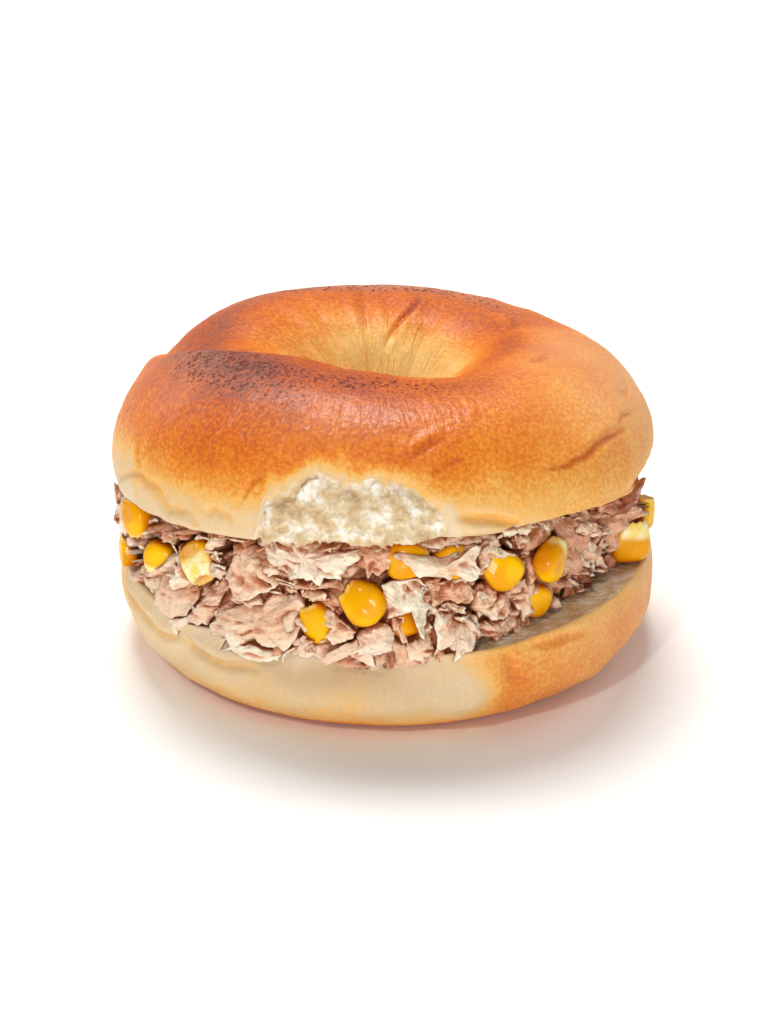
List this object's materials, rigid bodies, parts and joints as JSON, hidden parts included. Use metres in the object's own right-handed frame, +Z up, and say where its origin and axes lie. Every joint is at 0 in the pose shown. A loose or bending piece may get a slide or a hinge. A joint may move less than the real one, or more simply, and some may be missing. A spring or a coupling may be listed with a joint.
{
  "type": "bagel sandwich",
  "caption": "Halved browned bagel with a thick layer of flaked tuna and sweetcorn kernels between the halves, which shows all round the cut.",
  "frame": {"origin": "under the middle of the sandwich, on its flat base", "axes": "+Z up through the hole of the bagel, -Y towards the side with the torn crust and the thickest filling, +X to the right of it"},
  "size_m": [0.1116, 0.11, 0.0679],
  "materials": {
    "crust_top": "glossy browned crust",
    "crust_base": "satin pale crust with a crumb cut face",
    "tuna": "moist, fibrous",
    "corn": "glossy, wet"
  },
  "bodies": {
    "root": {"bagel_bottom": "crust_base", "bagel_top": "crust_top", "tuna_filling": "tuna", "sweetcorn_01": "corn", "sweetcorn_02": "corn", "sweetcorn_03": "corn", "sweetcorn_04": "corn", "sweetcorn_05": "corn", "sweetcorn_06": "corn", "sweetcorn_07": "corn", "sweetcorn_08": "corn", "sweetcorn_09": "corn", "sweetcorn_10": "corn", "sweetcorn_11": "corn", "sweetcorn_12": "corn", "sweetcorn_13": "corn", "sweetcorn_14": "corn", "sweetcorn_15": "corn", "sweetcorn_16": "corn", "sweetcorn_17": "corn", "sweetcorn_18": "corn", "sweetcorn_19": "corn", "sweetcorn_20": "corn", "sweetcorn_21": "corn", "sweetcorn_22": "corn", "sweetcorn_23": "corn", "sweetcorn_24": "corn"}
  },
  "joints": []
}
